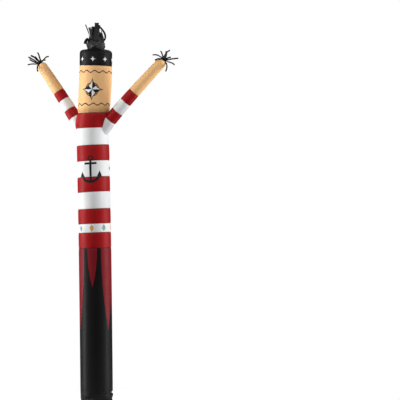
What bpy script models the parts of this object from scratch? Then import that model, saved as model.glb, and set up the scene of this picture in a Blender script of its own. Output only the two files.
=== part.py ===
"""An inflatable air dancer: a tall tube of coloured cloth bands, blown up from its open foot.

The figure stands on its foot hem at z = 0 and leans in a slow S along X. Two sleeves of
cloth bands rise from the shoulders and end in black tassels, and a collar of black cloth
with long cut strips stands on the hat as hair. All sizes are in metres.
"""

import math

import bmesh
import bpy
from mathutils import Matrix, Quaternion, Vector

# Cloth and seams
CLOTH = 0.002
GAP = 0.0003
SEAM_DRAW = 0.0025
NECK_DRAW = 0.007
SEAM_REACH = 0.028
SHARP_DEGREES = 40

# Body tube
TUBE_RADIUS = 0.2285
TUBE_SIDES = 32
FOOT_CENTRE = (-0.056, -0.031)
HEM = 0.030
NECK = 4.148
HAT_SEAM = 4.806
HAT_TOP = 4.985
RIM_CHAMFER = 0.008

# The S of the body: height, shift of the centre along X, rise of a seam along X
LEAN = (
    (0.00, 0.000, 0.000),
    (0.30, 0.000, 0.000),
    (2.22, -0.025, 0.036),
    (3.10, -0.044, 0.062),
    (3.63, -0.056, 0.055),
    (3.91, -0.067, 0.040),
    (4.16, -0.047, 0.022),
    (4.53, -0.022, -0.015),
    (4.82, -0.013, -0.033),
    (5.05, -0.010, -0.012),
)

# Rows of points close together in the rolls of slack cloth at the foot
ROLL_ROWS = (0.06, 0.085, 0.11, 0.135, 0.16, 0.185, 0.21, 0.235, 0.27, 0.33)

# Bands of the body from the foot up: top seam, colour, heights of the inner rows of points
BANDS = {
    "trousers": (2.250, "black", (HEM, *ROLL_ROWS, 1.2, 2.22)),
    "shirt_red_5": (2.468, "red", (2.28, 2.44)),
    "shirt_white_4": (2.589, "white", (2.495, 2.56)),
    "shirt_red_4": (2.800, "red", (2.615, 2.77)),
    "shirt_white_3": (3.034, "white", (2.83, 3.005)),
    "shirt_red_3": (3.246, "red", (3.06, 3.215)),
    "shirt_white_2": (3.469, "white", (3.275, 3.44)),
    "shirt_red_2": (3.692, "red", (3.5, 3.66)),
    "shirt_white_1": (3.932, "white", (3.72, 3.78, 3.84, 3.905)),
    "shirt_red_1": (NECK, "red", (3.96, 4.02, 4.07, 4.105, 4.128)),
    "head": (HAT_SEAM, "tan", (4.175, 4.36, 4.58, 4.78)),
    "hat": (HAT_TOP + RIM_CHAMFER, "black", (4.835, 4.96, HAT_TOP)),
}

# Crown of the hat: radius and rise from its outer seam in to the vent
CROWN_RISE = 0.060
CROWN = (
    (0.2205, 0.0080),
    (0.2130, 0.0155),
    (0.1980, 0.0270),
    (0.1600, 0.0480),
    (0.1240, CROWN_RISE),
    (0.1120, CROWN_RISE),
)

# Shoulders, where the cloth swells towards the sleeves
SHOULDER_SWELL = 0.044
SHOULDER_HEIGHT = 4.02
SHOULDER_REACH = 0.15
SHOULDER_SPREAD = 0.62
NECK_STEP = 0.032
SHOULDER_FORM_FOOT = 3.70

# Rolls of slack cloth at the foot, which climb towards the turned side
TURN = math.radians(26)
CUFF_DRAW = 0.005
CUFF_HEIGHT = 0.30
FOOT_ROLLS = (
    # height, climb to the turned side, depth, half width
    (0.170, 0.055, 0.012, 0.022),
    (0.108, 0.022, 0.009, 0.018),
)
ROLL_SWELL = 0.006
ROLL_SWELL_BELOW = 0.034
ROLL_SWELL_REACH = 0.030
ROLL_UNEVEN = 0.25

# Sleeves: side, shoulder point, reach outward, sweep across, rise, seams as shares of the length
SLEEVES = {
    "right": (1, (0.1640, 0.0, 3.984), 0.7950, 0.183, 0.884, (0.0726, 0.208, 0.3545, 0.506)),
    "left": (-1, (-0.2952, 0.0, 4.004), 0.5420, 0.121, 0.847, (0.097, 0.2345, 0.394, 0.535)),
}
SLEEVE_COLOURS = ("white", "red", "white", "red", "tan")
SLEEVE_SIDES = 16
SLEEVE_ROOT_RADIUS = 0.0935
SLEEVE_HAND_RADIUS = 0.0705
SLEEVE_START = -0.14
SWEEP_POWER = 1.7
HAND_ROUND = 0.045
HAND_HOLE = 0.0315
HAND_CURL = (1.0, 0.6, 0.3, 0.1, 0.0)
AIR_HOLE_MARGIN = 0.0155

# Hair: a crumpled collar round the vent, and a ring above it cut into strips
HAIR_BASE = HAT_TOP + CROWN_RISE + GAP
HAIR_RING = 5.150
HAIR_RING_HEIGHT = 0.012
HAIR_RADIUS = 0.1180
HAIR_WALL = 0.0025
COLLAR_SWELL = 0.014
COLLAR_CREASE = 0.005
COLLAR_ROWS = (0.0, 0.12, 0.38, 0.66, 0.88, 1.0)
HAIR_STRIP_DEGREES = 26
HAIR_STRIP_WIDEN = 1.06
HAIR_SECTIONS = 7

# Each hair strip: place on the ring in degrees from the turned side's right hand, then its
# middle and its tip as (right, towards the turned side, up), then its twist in degrees
HAIR_STRIPS = (
    (0, (0.098, 0.000, 0.066), (0.052, 0.002, 0.128), 0),
    (30, (0.094, 0.054, 0.052), (0.078, 0.045, 0.100), 0),
    (60, (0.046, 0.080, 0.070), (0.029, 0.050, 0.132), 0),
    (90, (0.004, 0.098, 0.130), (0.007, 0.062, 0.262), 0),
    (120, (-0.040, 0.060, 0.108), (-0.030, 0.014, 0.208), 0),
    (150, (-0.122, 0.068, 0.034), (-0.146, 0.072, -0.030), 0),
    (180, (-0.098, 0.004, 0.090), (-0.150, 0.006, 0.238), 16),
    (210, (-0.078, -0.044, 0.100), (-0.084, -0.034, 0.202), -14),
    (240, (-0.062, -0.096, 0.090), (-0.054, -0.094, 0.185), 0),
    (270, (0.004, -0.090, 0.120), (0.034, -0.078, 0.244), 0),
    (300, (0.054, -0.094, 0.070), (0.052, -0.091, 0.130), 0),
    (330, (0.124, -0.050, 0.100), (0.052, -0.012, 0.204), 14),
)

# Tassels: a ring in each hand's hole, cut into strips
TASSEL_RADIUS = 0.0300
TASSEL_WALL = 0.0022
TASSEL_INSIDE = 0.012
TASSEL_OUTSIDE = 0.028
TASSEL_STRIP_DEGREES = 24
TASSEL_SECTIONS = 6
TASSEL_STRIP_WIDEN = 1.35
TASSEL_STRIP_THICKEN = 2.6
TASSEL_ARCH_ALONG = 0.22
TASSEL_ARCH_OUTWARD = 0.10

# Each tassel strip: place on the ring in degrees from across to the turned side,
# then its tip as (along the sleeve, across, towards the turned side)
TASSELS = {
    "right": (
        (0, (0.061, 0.156, 0.010)),
        (40, (-0.086, 0.132, 0.060)),
        (80, (0.104, 0.047, 0.100)),
        (120, (-0.075, -0.080, 0.085)),
        (160, (0.170, -0.030, 0.020)),
        (200, (0.070, -0.120, -0.004)),
        (240, (-0.048, -0.164, -0.050)),
        (280, (0.118, -0.069, -0.080)),
        (320, (0.167, 0.125, -0.030)),
    ),
    "left": (
        (0, (0.022, 0.155, 0.012)),
        (40, (0.156, 0.056, 0.030)),
        (80, (0.118, -0.008, 0.095)),
        (120, (-0.076, -0.088, 0.086)),
        (160, (0.135, -0.095, 0.040)),
        (200, (0.094, -0.158, -0.014)),
        (240, (0.190, -0.088, -0.050)),
        (280, (0.196, -0.052, -0.090)),
        (320, (0.020, 0.084, -0.086)),
    ),
}

COLOURS = {
    "black": (0.012, 0.012, 0.014),
    "red": (0.42, 0.012, 0.018),
    "white": (0.80, 0.80, 0.82),
    "tan": (0.72, 0.42, 0.17),
}
CLOTH_ROUGHNESS = 0.45


def clear_scene():
    for obj in list(bpy.data.objects):
        bpy.data.objects.remove(obj, do_unlink=True)


def new_collection(name):
    collection = bpy.data.collections.new(name)
    bpy.context.scene.collection.children.link(collection)
    return collection


def cloth_material(name, colour):
    material = bpy.data.materials.new(name)
    material.use_nodes = True
    shader = material.node_tree.nodes["Principled BSDF"]
    shader.inputs["Base Color"].default_value = (*COLOURS[colour], 1.0)
    shader.inputs["Roughness"].default_value = CLOTH_ROUGHNESS
    shader.inputs["Metallic"].default_value = 0.0
    material.diffuse_color = (*COLOURS[colour], 1.0)
    return material


def through(table, column, at):
    """The value of a column at a height, on a smooth curve through the table's rows."""
    rows = [(row[0], row[column]) for row in table]
    if at <= rows[0][0]:
        return rows[0][1]
    if at >= rows[-1][0]:
        return rows[-1][1]
    last = len(rows) - 1
    low = max(i for i in range(last) if rows[i][0] <= at)

    def steepness(i):
        before, after = rows[max(i - 1, 0)], rows[min(i + 1, last)]
        return (after[1] - before[1]) / (after[0] - before[0])

    (start, a), (end, b) = rows[low], rows[low + 1]
    width = end - start
    t = (at - start) / width
    return (
        a * (1 + 2 * t) * (1 - t) ** 2
        + b * t * t * (3 - 2 * t)
        + width * (steepness(low) * t * (1 - t) ** 2 + steepness(low + 1) * t * t * (t - 1))
    )


def hump(distance, reach):
    """One at no distance, falling smoothly to nothing at the reach."""
    t = min(abs(distance) / reach, 1.0)
    return (1 - t * t) ** 2


def ramp(value):
    return min(max(value, 0.0), 1.0)


def angle_between(a, b):
    return abs((a - b + math.pi) % (2 * math.pi) - math.pi)


def turned_side():
    """The unit vector towards the side that the figure turns its front to, and its right hand."""
    return (
        Vector((math.sin(TURN), -math.cos(TURN), 0.0)),
        Vector((math.cos(TURN), math.sin(TURN), 0.0)),
    )


def seam_draw(height):
    """How far the stitched seams draw the tube in at a height."""
    draw = 0.0
    for name, (seam, _, _) in BANDS.items():
        if name != "hat":
            depth = NECK_DRAW if seam == NECK else SEAM_DRAW
            draw += depth * hump(height - seam, SEAM_REACH)
    return draw


def shoulder_swell(angle, height):
    """The swelling of the body's cloth under each sleeve, which ends short of the neck."""
    step = ramp((NECK - height) / NECK_STEP)
    swell = SHOULDER_SWELL * hump(height - SHOULDER_HEIGHT, SHOULDER_REACH) * step
    near = min(angle_between(angle, 0.0), angle_between(angle, math.pi))
    return swell * hump(near, SHOULDER_SPREAD)


def foot_rolls(angle, height):
    """The slack rolls above the hem: slanting grooves with cloth swelling under each."""
    turned = math.cos(angle - TURN)
    change = -CUFF_DRAW * (1 - ramp(height / CUFF_HEIGHT))
    for number, (middle, climb, depth, reach) in enumerate(FOOT_ROLLS):
        above = height - middle - climb * turned
        uneven = 1 - ROLL_UNEVEN + ROLL_UNEVEN * math.sin(3 * angle + 2 * number)
        change -= depth * uneven * hump(above, reach)
        change += ROLL_SWELL * uneven * hump(above + ROLL_SWELL_BELOW, ROLL_SWELL_REACH)
    free = ramp((height - HEM) / HEM)
    return change * free - CUFF_DRAW * (1 - free)


def body_radius(angle, height):
    swelling = shoulder_swell(angle, height) + foot_rolls(angle, height)
    return TUBE_RADIUS - seam_draw(height) + swelling


def on_axis(angle, radius, height):
    """A point at a radius round the leaning centre line."""
    x, y = radius * math.cos(angle), radius * math.sin(angle)
    return Vector((through(LEAN, 1, height) + x, y, height + through(LEAN, 2, height) * x))


def body_point(angle, height, out=0.0):
    chamfer = max(height - HAT_TOP, 0.0)
    return on_axis(angle, body_radius(angle, height) - chamfer + out, height)


def sleeve_centre(side, share):
    """The centre line of a sleeve: it rises evenly and sweeps round the body."""
    sign, shoulder, reach, sweep, rise, _ = SLEEVES[side]
    swept = math.copysign(abs(share) ** SWEEP_POWER, share)
    return Vector(shoulder) + Vector((sign * reach * share, sign * sweep * swept, rise * share))


def sleeve_frame(side, share):
    """The sleeve's direction at a share of its length, then across it, then the turned side."""
    step = 0.01
    along = (sleeve_centre(side, share + step) - sleeve_centre(side, share - step)).normalized()
    facing, _ = turned_side()
    toward = (facing - facing.dot(along) * along).normalized()
    return along, along.cross(toward), toward


def sleeve_length(side):
    return (sleeve_centre(side, 1.0) - sleeve_centre(side, 0.0)).length


def sleeve_radius(side, share, seams):
    """Tapers to the hand, is drawn in at its seams, and rounds in to the hand's hole."""
    length = sleeve_length(side)
    radius = SLEEVE_ROOT_RADIUS + (SLEEVE_HAND_RADIUS - SLEEVE_ROOT_RADIUS) * ramp(share)
    radius -= sum(SEAM_DRAW * hump((share - seam) * length, SEAM_REACH) for seam in seams)
    left = (1.0 - share) * length
    if left < HAND_ROUND:
        bend = math.sqrt(max(1 - (1 - left / HAND_ROUND) ** 2, 0.0))
        radius = HAND_HOLE + (radius - HAND_HOLE) * bend
    return radius


def sleeve_point(side, angle, share, seams, out=0.0):
    _, across, toward = sleeve_frame(side, share)
    radius = sleeve_radius(side, share, seams) + out
    ring = across * math.cos(angle) + toward * math.sin(angle)
    return sleeve_centre(side, share) + radius * ring


def finish(bm, name, collection, parent):
    """Makes the object of a mesh, with smooth shading."""
    bm.normal_update()
    bmesh.ops.recalc_face_normals(bm, faces=bm.faces)
    mesh = bpy.data.meshes.new(name)
    bm.to_mesh(mesh)
    bm.free()
    mesh.shade_smooth()
    mesh.set_sharp_from_angle(angle=math.radians(SHARP_DEGREES))
    obj = bpy.data.objects.new(name, mesh)
    obj.parent = parent
    collection.objects.link(obj)
    return obj


def tube_mesh(rows, sides, place, capped=False):
    """A cylinder with a ring of points at each row, each point then put in its place."""
    bm = bmesh.new()
    spans = len(rows) - 1
    bmesh.ops.create_cone(
        bm,
        cap_ends=capped,
        segments=sides,
        radius1=1.0,
        radius2=1.0,
        depth=spans,
        matrix=Matrix.Translation((0, 0, spans / 2)),
    )
    for level in range(1, spans):
        everything = bm.verts[:] + bm.edges[:] + bm.faces[:]
        bmesh.ops.bisect_plane(bm, geom=everything, plane_co=(0, 0, level), plane_no=(0, 0, 1))
    for vert in bm.verts:
        angle = math.atan2(vert.co.y, vert.co.x)
        vert.co = place(angle, rows[round(vert.co.z)])
    # Faces that lie together are split along the same diagonals, so that they stay parallel.
    four_sided = [face for face in bm.faces if len(face.verts) == 4]
    bmesh.ops.triangulate(bm, faces=four_sided, quad_method="SHORT_EDGE")
    return bm


def outward(obj):
    """Turns an open shell's faces away from its centre line, so that its wall goes inside."""
    mesh = obj.data
    middle = sum((v.co for v in mesh.vertices), Vector()) / len(mesh.vertices)
    facing = sum((face.center - middle).dot(face.normal) * face.area for face in mesh.polygons)
    if facing < 0:
        mesh.flip_normals()


def cloth_tube(name, colour, rows, sides, place, collection, parent):
    obj = finish(tube_mesh(rows, sides, place), name, collection, parent)
    outward(obj)
    wall = obj.modifiers.new("cloth", "SOLIDIFY")
    wall.thickness = CLOTH
    wall.offset = -1.0
    wall.use_even_offset = True
    obj.data.materials.append(cloth_material(name, colour))
    return obj


def cutter(name, rows, sides, place, collection, parent):
    obj = finish(tube_mesh(rows, sides, place, capped=True), name, collection, parent)
    obj.hide_render = True
    obj.display_type = "WIRE"
    return obj


def cut(obj, tool):
    modifier = obj.modifiers.new(f"cut by {tool.name}", "BOOLEAN")
    modifier.operation = "DIFFERENCE"
    modifier.solver = "EXACT"
    modifier.object = tool


def body_bands(collection, parent):
    """The bands of the tube from the foot hem to the rim of the hat."""
    made = {}
    floor = 0.0
    for name, (top, colour, inner) in BANDS.items():
        low = floor + (GAP / 2 if floor else 0.0)
        rows = (low, *inner, top - GAP / 2)
        made[name] = cloth_tube(name, colour, rows, TUBE_SIDES, body_point, collection, parent)
        floor = top
    return made


def crown(collection, parent):
    """The round top of the hat, from its seam up to the flat seat of the hair's collar."""

    def place(angle, ring):
        radius, rise = ring
        return on_axis(angle, radius, HAT_TOP + rise + GAP / 2)

    cloth_tube("hat_crown", "black", CROWN, TUBE_SIDES, place, collection, parent)


def hair_collar(collection, parent):
    """A short crumpled tube of cloth that stands round the vent."""
    height = HAIR_RING - GAP - HAIR_BASE

    def place(angle, share):
        bulge = math.sin(math.pi * share)
        creases = math.sin(5 * angle + 4 * share) + 0.6 * math.sin(8 * angle - 5 * share + 1)
        radius = HAIR_RADIUS + bulge * (COLLAR_SWELL + COLLAR_CREASE * creases)
        return on_axis(angle, radius, HAIR_BASE + share * height)

    cloth_tube("hair_collar", "black", COLLAR_ROWS, TUBE_SIDES, place, collection, parent)


def sleeve_rows(side):
    """The shares of the sleeve's length at which each of its bands has a ring of points."""
    seams = SLEEVES[side][-1]
    length = sleeve_length(side)
    gap = GAP / 2 / length
    reach = SEAM_REACH / length
    rows = [(SLEEVE_START, 0.0, seams[0] - gap)]
    for low, high in zip(seams, seams[1:]):
        rows.append((low + gap, low + reach, high - reach, high - gap))
    hand = [1.0 - HAND_ROUND * curl / length for curl in HAND_CURL]
    rows.append((seams[-1] + gap, seams[-1] + reach, (seams[-1] + 1.0) / 2, *hand))
    return rows


def inner_rows(name):
    """The inner rows of a body band, then its top seam."""
    top, _, inner = BANDS[name]
    return (*inner, top)


def sleeve(side, body, tools, collection, parent):
    """The bands of one sleeve. The first two are trimmed to the shoulder, which opens into them."""
    seams = SLEEVES[side][-1]

    def place(angle, share):
        return sleeve_point(side, angle, share, seams)

    def air_way(angle, share):
        return sleeve_point(side, angle, share, seams, out=-AIR_HOLE_MARGIN)

    def shoulder_form(angle, height):
        return body_point(angle, height, out=GAP)

    bands = []
    for number, (rows, colour) in enumerate(zip(sleeve_rows(side), SLEEVE_COLOURS), 1):
        name = f"sleeve_{side}_{number}"
        bands.append(cloth_tube(name, colour, rows, SLEEVE_SIDES, place, collection, parent))

    chest = (*inner_rows("shirt_white_1"), *inner_rows("shirt_red_1"))
    form_rows = (SHOULDER_FORM_FOOT, *chest, *inner_rows("head")[:2])
    form = cutter(f"shoulder_form_{side}", form_rows, TUBE_SIDES, shoulder_form, tools, parent)
    for band in bands[:2]:
        cut(band, form)
    way_rows = (SLEEVE_START, 0.0, seams[0])
    way = cutter(f"air_way_{side}", way_rows, SLEEVE_SIDES, air_way, tools, parent)
    for name in ("shirt_red_1", "shirt_white_1"):
        cut(body[name], way)


def strip_path(root, middle, tip, share):
    """A curve through three points, and its direction."""
    point = (
        root * (1 - share) * (1 - 2 * share)
        + middle * 4 * share * (1 - share)
        + tip * share * (2 * share - 1)
    )
    along = root * (4 * share - 3) + middle * (4 - 8 * share) + tip * (4 * share - 1)
    return point, along.normalized()


def grow_strip(bm, face, middle, tip, sections, widen, thicken=1.0, turn=0.0):
    """Grows a four-sided strip out of one face of the ring, along a curve, turning as it goes."""
    root = face.calc_center_median()
    longest = max(face.edges, key=lambda edge: edge.calc_length())
    width = (longest.verts[1].co - longest.verts[0].co).normalized()
    depth = width.cross(face.normal)
    offsets = {}
    for vert in face.verts:
        offsets[vert] = ((vert.co - root).dot(width), (vert.co - root).dot(depth))
    for number in range(1, sections + 1):
        share = number / sections
        centre, along = strip_path(root, middle, tip, share)
        width = (width - width.dot(along) * along).normalized()
        width.rotate(Quaternion(along, math.radians(turn) / sections))
        depth = width.cross(along)
        opened = min(2 * share, 1.0)
        wide, thick = 1 + (widen - 1) * opened, 1 + (thicken - 1) * opened
        old = {tuple(vert.co): offset for vert, offset in offsets.items()}
        grown = bmesh.ops.extrude_discrete_faces(bm, faces=[face])["faces"]
        face = grown[0]
        offsets = {vert: old[tuple(vert.co)] for vert in face.verts}
        for vert, (across, deep) in offsets.items():
            vert.co = centre + width * across * wide + depth * deep * thick


def ring_mesh(inner, outer, low, high, steps):
    """A plain ring of four-sided section, turned in even steps."""
    bm = bmesh.new()
    section = ((inner, low), (outer, low), (outer, high), (inner, high))
    corners = [bm.verts.new((radius, 0, z)) for radius, z in section]
    edges = [bm.edges.new((corners[i], corners[(i + 1) % 4])) for i in range(4)]
    bmesh.ops.spin(
        bm,
        geom=corners + edges,
        axis=(0, 0, 1),
        cent=(0, 0, 0),
        steps=steps,
        angle=2 * math.pi,
        use_merge=True,
    )
    bmesh.ops.recalc_face_normals(bm, faces=bm.faces)
    return bm


def cut_ring(name, section, strip_degrees, places, put, grow, collection, parent):
    """A narrow ring of cloth whose upper edge is cut into strips, one at each place."""
    steps = 2 * len(places)
    bm = ring_mesh(*section, steps)

    def step_at(point, offset):
        return round(math.atan2(point.y, point.x) / (2 * math.pi) * steps - offset) % steps

    tops = {}
    for face in bm.faces:
        step = step_at(face.calc_center_median(), 0.5)
        if face.normal.z > 0.9 and step % 2 == 0:
            tops[step // 2] = face
    half = math.radians(strip_degrees) / 2
    for vert in bm.verts:
        step = step_at(vert.co, 0.0)
        radius = math.hypot(vert.co.x, vert.co.y)
        angle = math.radians(places[step // 2]) + (half if step % 2 else -half)
        vert.co = put(angle, radius, vert.co.z)
    bm.normal_update()
    bmesh.ops.recalc_face_normals(bm, faces=bm.faces)
    for number in sorted(tops):
        grow(bm, tops[number], number)
    obj = finish(bm, name, collection, parent)
    obj.data.materials.append(cloth_material(name, "black"))


def hair_fringe(collection, parent):
    """The ring on the hair's collar, cut into long strips that stand, lean and fold."""
    seat = on_axis(0.0, 0.0, HAIR_RING)
    facing, right_hand = turned_side()

    def put(angle, radius, height):
        return on_axis(TURN - angle, radius, HAIR_RING + height)

    def hair_point(right, toward, up):
        return seat + right_hand * right + facing * toward + Vector((0.0, 0.0, up))

    def grow(bm, face, number):
        _, middle, tip, turn = HAIR_STRIPS[number]
        grow_strip(
            bm, face, hair_point(*middle), hair_point(*tip), HAIR_SECTIONS, HAIR_STRIP_WIDEN, turn=turn
        )

    section = (HAIR_RADIUS - HAIR_WALL, HAIR_RADIUS, 0.0, HAIR_RING_HEIGHT)
    places = [row[0] for row in HAIR_STRIPS]
    cut_ring("hair_fringe", section, HAIR_STRIP_DEGREES, places, put, grow, collection, parent)


def tassel(side, collection, parent):
    """A ring in the hand's hole, cut into strips that splay out and back over the hand."""
    along, across, toward = sleeve_frame(side, 1.0)
    hole = sleeve_centre(side, 1.0)

    def outward_at(angle):
        return across * math.cos(angle) + toward * math.sin(angle)

    def put(angle, radius, height):
        return hole + along * height + outward_at(angle) * radius

    def grow(bm, face, number):
        place, (forward, sideways, near) = TASSELS[side][number]
        root = face.calc_center_median()
        tip = hole + along * forward + across * sideways + toward * near
        arch = along * TASSEL_ARCH_ALONG + outward_at(math.radians(place)) * TASSEL_ARCH_OUTWARD
        middle = (root + tip) / 2 + arch * (tip - root).length
        grow_strip(bm, face, middle, tip, TASSEL_SECTIONS, TASSEL_STRIP_WIDEN, TASSEL_STRIP_THICKEN)

    section = (TASSEL_RADIUS - TASSEL_WALL, TASSEL_RADIUS, -TASSEL_INSIDE, TASSEL_OUTSIDE)
    places = [row[0] for row in TASSELS[side]]
    name = f"tassel_{side}"
    cut_ring(name, section, TASSEL_STRIP_DEGREES, places, put, grow, collection, parent)


def main():
    clear_scene()
    dancer = new_collection("air_dancer")
    tools = new_collection("cutters")
    tools.hide_render = True
    foot = bpy.data.objects.new("foot", None)
    foot.location = (*FOOT_CENTRE, 0.0)
    dancer.objects.link(foot)

    body = body_bands(dancer, foot)
    crown(dancer, foot)
    hair_collar(dancer, foot)
    hair_fringe(dancer, foot)
    for side in SLEEVES:
        sleeve(side, body, tools, dancer, foot)
        tassel(side, dancer, foot)


main()
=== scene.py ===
import math

import bmesh
import bpy
import numpy as np
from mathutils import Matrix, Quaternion, Vector, noise


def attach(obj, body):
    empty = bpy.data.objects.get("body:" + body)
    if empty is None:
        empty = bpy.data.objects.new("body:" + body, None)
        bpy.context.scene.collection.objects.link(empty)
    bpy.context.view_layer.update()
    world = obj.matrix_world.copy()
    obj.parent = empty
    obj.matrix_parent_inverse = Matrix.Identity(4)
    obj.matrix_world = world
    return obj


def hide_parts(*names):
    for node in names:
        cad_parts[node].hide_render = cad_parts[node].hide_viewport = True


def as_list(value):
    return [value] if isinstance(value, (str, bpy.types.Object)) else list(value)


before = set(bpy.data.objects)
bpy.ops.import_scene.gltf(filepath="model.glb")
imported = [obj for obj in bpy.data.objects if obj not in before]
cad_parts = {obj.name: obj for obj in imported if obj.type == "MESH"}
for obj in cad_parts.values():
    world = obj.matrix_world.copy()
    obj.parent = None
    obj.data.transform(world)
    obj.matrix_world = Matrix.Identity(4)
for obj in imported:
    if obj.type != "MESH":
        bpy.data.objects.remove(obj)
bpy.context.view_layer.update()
fullTurn = 2 * math.pi


# Curves and humps that shape every tube

def clamp01(value):
    return min(max(value, 0.0), 1.0)


def hump(distance, reach):  # one at no distance, nothing at the reach
    t = min(abs(distance) / reach, 1.0)
    return (1 - t * t) ** 2


def through(rows, column, at):  # smooth curve through a table's rows
    if at <= rows[0][0]:
        return rows[0][column]
    if at >= rows[-1][0]:
        return rows[-1][column]
    last = len(rows) - 1
    low = max(i for i in range(last) if rows[i][0] <= at)

    def steepness(i):
        before, after = rows[max(i - 1, 0)], rows[min(i + 1, last)]
        return (after[column] - before[column]) / (after[0] - before[0])

    width = rows[low + 1][0] - rows[low][0]
    t = (at - rows[low][0]) / width
    a, b = rows[low][column], rows[low + 1][column]
    eased = a * (1 + 2 * t) * (1 - t) ** 2 + b * t * t * (3 - 2 * t)
    return eased + width * t * (1 - t) * (steepness(low) * (1 - t) - steepness(low + 1) * t)


def angleBetween(a, b):
    return abs((a - b + math.pi) % fullTurn - math.pi)


def rowsBetween(low, high, fine=0.003, coarse=0.02, growth=1.4):  # close together near both seams
    half, step, offsets = (high - low) / 2, fine, [0.0]
    while offsets[-1] + step < half:
        offsets.append(offsets[-1] + step)
        step = min(step * growth, coarse)
    return [low + o for o in offsets] + [high - o for o in reversed(offsets)]


def roundNoise(angle, height, perRadian, perMetre, seed):  # noise that closes round the tube
    x, y = math.cos(angle) * perRadian, math.sin(angle) * perRadian
    return noise.noise(Vector((x, y, height * perMetre + seed)))


# The tube of the body, in metres

body = {
    "foot": Vector((-0.056, -0.031, 0.0)),  # where the foot stands in the frame
    "radius": 0.2285,
    "cloth": 0.0016,
    "sides": 192,
    "turn": math.radians(26),  # the way the viewer stands, from -Y towards +X
    "printFront": math.radians(-72),  # the print looks a little to the viewer's left
    "seamDraw": 0.0025,
    "neckDraw": 0.007,
    "seamReach": 0.028,
    "lap": 0.007,  # seam allowance under the next band
    "lapDepth": 0.0024,
    "lapStart": 0.0008,
    "lapStep": (0.0002, 0.8),  # how far under the seam, and its share of the depth
    "neck": 4.148,
    "rim": 4.985,
    "rimRound": 0.030,
    "lean": (  # height, shift along X, rise of a seam along X
        (0.00, 0.000, 0.000), (0.30, 0.000, 0.000), (2.22, -0.025, 0.036), (3.10, -0.044, 0.062),
        (3.63, -0.056, 0.055), (3.91, -0.067, 0.040), (4.16, -0.047, 0.022), (4.53, -0.022, -0.015),
        (4.82, -0.013, -0.033), (5.05, -0.010, -0.012),
    ),
}

bands = [  # node, top seam, cloth
    ("trousers", 2.250, "trouserBlack"),
    ("shirt_red_5", 2.468, "shirtRed"),
    ("shirt_white_4", 2.589, "waistWhite"),
    ("shirt_red_4", 2.800, "shirtRed"),
    ("shirt_white_3", 3.034, "shirtWhite"),
    ("shirt_red_3", 3.246, "chestRed"),
    ("shirt_white_2", 3.469, "chestWhite"),
    ("shirt_red_2", 3.692, "chestRed"),
    ("shirt_white_1", 3.932, "shirtWhite"),
    ("shirt_red_1", 4.148, "shirtRed"),
    ("head", 4.806, "headTan"),
    ("hat", 4.993, "hatBlack"),
]
seams = [top for _, top, _ in bands[:-1]]

shoulder = {"swell": 0.044, "height": 4.02, "reach": 0.15, "spread": 0.62, "neckStep": 0.032}
shoulderFolds = {"count": 9, "depth": 0.0035, "reach": 0.30, "start": 0.085, "ease": 0.03, "turn": 1.3}

footCuff = {
    "draw": 0.005, "height": 0.30, "hem": 0.030, "fineRows": 0.006, "fineTop": 0.36,
    "rolls": ((0.170, 0.055, 0.012, 0.022), (0.108, 0.022, 0.009, 0.018)),  # height, climb, depth, reach
    "swell": 0.006, "below": 0.034, "swellReach": 0.030, "uneven": 0.25,
    "slackTop": 0.40, "slackHeight": 0.15, "slackReach": 0.17, "crumple": 0.0056,
    "folds": ((1.0, 2.2, 16.0, 1.0), (0.5, 5.0, 30.0, 9.0)),  # share, per radian, per metre, seed
}

puckers = {  # depth, reach, how many per radian and per metre, least share of the depth
    "seam": (0.0016, 0.045, 7.5, 6.0, 0.35), "neck": (0.0035, 0.11, 4.0, 6.0, 0.35),
    "sleeve": (0.0012, 0.035, 4.0, 8.0, 0.3),
}
wrinkles = {"vary": 1.6, "seedStep": 7.7, "ripple": 0.0011, "rippleNoise": (3.0, 0.9, 3.1)}

viewersRight = Vector((math.cos(body["turn"]), math.sin(body["turn"]), 0.0))
towardViewer = Vector((math.sin(body["turn"]), -math.cos(body["turn"]), 0.0))
girth = fullTurn * body["radius"]


def seamDraw(height):
    draw = 0.0
    for seam in seams:
        if abs(height - seam) < body["seamReach"]:
            depth = body["neckDraw"] if seam == body["neck"] else body["seamDraw"]
            draw += depth * hump(height - seam, body["seamReach"])
    return draw


def shoulderSwell(angle, height):
    step = clamp01((body["neck"] - height) / shoulder["neckStep"])
    swell = shoulder["swell"] * hump(height - shoulder["height"], shoulder["reach"]) * step
    near = min(angleBetween(angle, 0.0), angleBetween(angle, math.pi))
    return swell * hump(near, shoulder["spread"])


def footRolls(angle, height):
    turned = math.cos(angle - body["turn"])
    change = -footCuff["draw"] * (1 - clamp01(height / footCuff["height"]))
    for number, (middle, climb, depth, reach) in enumerate(footCuff["rolls"]):
        above = height - middle - climb * turned
        uneven = 1 - footCuff["uneven"] + footCuff["uneven"] * math.sin(3 * angle + 2 * number)
        change -= depth * uneven * hump(above, reach)
        change += footCuff["swell"] * uneven * hump(above + footCuff["below"], footCuff["swellReach"])
    free = clamp01((height - footCuff["hem"]) / footCuff["hem"])
    return change * free - footCuff["draw"] * (1 - free)


def bodyRadius(angle, height):
    radius = body["radius"] - seamDraw(height)
    if abs(height - shoulder["height"]) < shoulder["reach"]:
        radius += shoulderSwell(angle, height)
    if height < footCuff["slackTop"]:
        radius += footRolls(angle, height)
    return radius


def onAxis(angle, radius, height):
    x, y = radius * math.cos(angle), radius * math.sin(angle)
    shift, rise = through(body["lean"], 1, height), through(body["lean"], 2, height)
    return body["foot"] + Vector((shift + x, y, height + rise * x))


def puckered(kind, angle, height, seam, seed):
    depth, reach, perRadian, perMetre, least = puckers[kind]
    if abs(height - seam) >= reach:
        return 0.0
    amount = abs(roundNoise(angle, height, perRadian, perMetre, seed))
    return depth * hump(height - seam, reach) * (least + wrinkles["vary"] * amount)


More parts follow.
